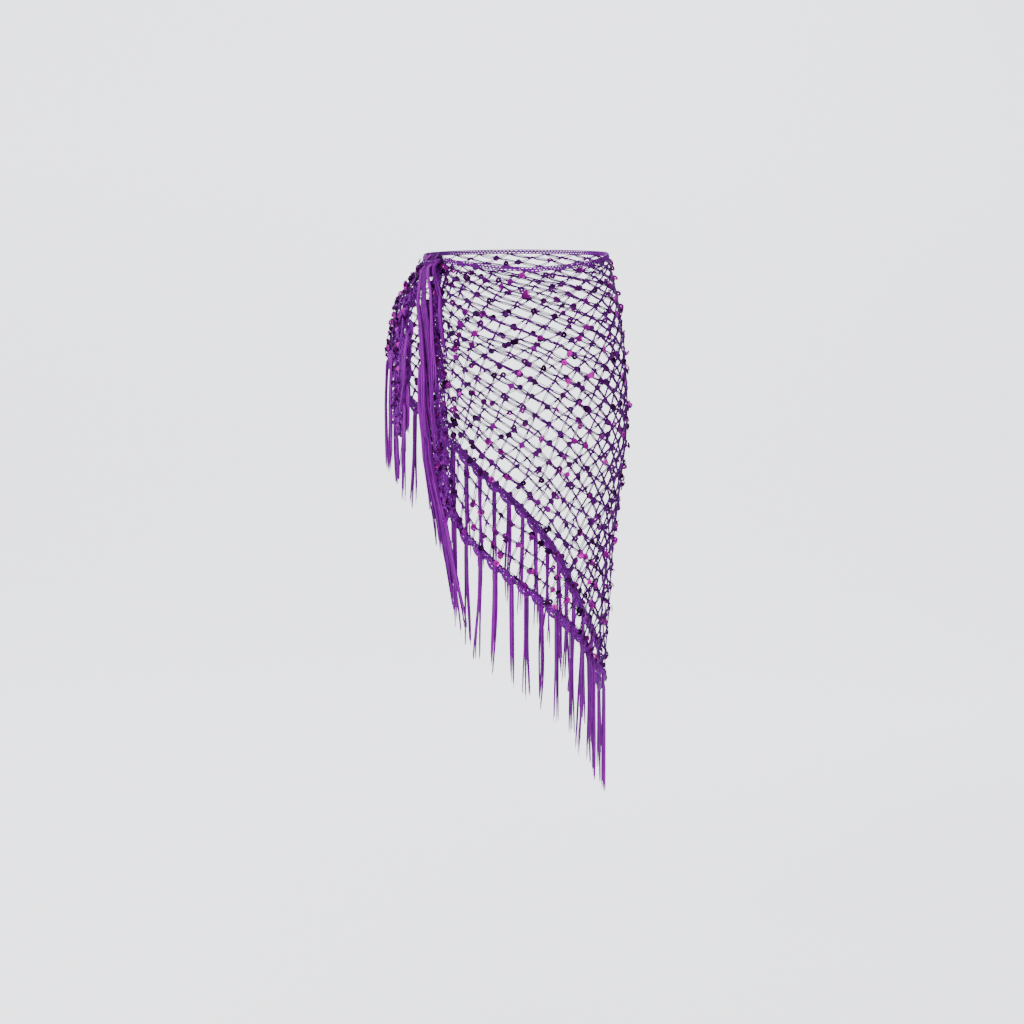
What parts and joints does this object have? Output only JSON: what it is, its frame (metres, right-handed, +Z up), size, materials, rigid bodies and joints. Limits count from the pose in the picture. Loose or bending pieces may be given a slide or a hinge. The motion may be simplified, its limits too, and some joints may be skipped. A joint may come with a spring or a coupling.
{
  "type": "crochet triangle shawl tied round the hips",
  "caption": "Net shawl in a triangle, worn tied at one hip, with a crocheted waist band, edged hem, hanging tassels and round sequins.",
  "frame": {"origin": "middle of the wearer's waist, level with the waist band", "axes": "+Z up; -Y is the wearer's front; the knot lies towards -X and the triangle's point hangs towards +X"},
  "size_m": [0.3497, 0.2538, 0.8014],
  "materials": {
    "net": "fine smooth crochet thread in deep purple",
    "cord": "dense crochet in deep purple",
    "fringe": "glossy twisted tassel yarn in bright purple",
    "sequin": "cupped foil sequins with a metallic gloss"
  },
  "bodies": {
    "root": {"knot": "cord", "waist_band": "cord", "net_front": "net", "net_back": "net", "tail_front": "net", "tail_back": "net", "fringe_front": "fringe", "fringe_back": "fringe", "fringe_tail_front": "fringe", "fringe_tail_back": "fringe"}
  },
  "joints": []
}
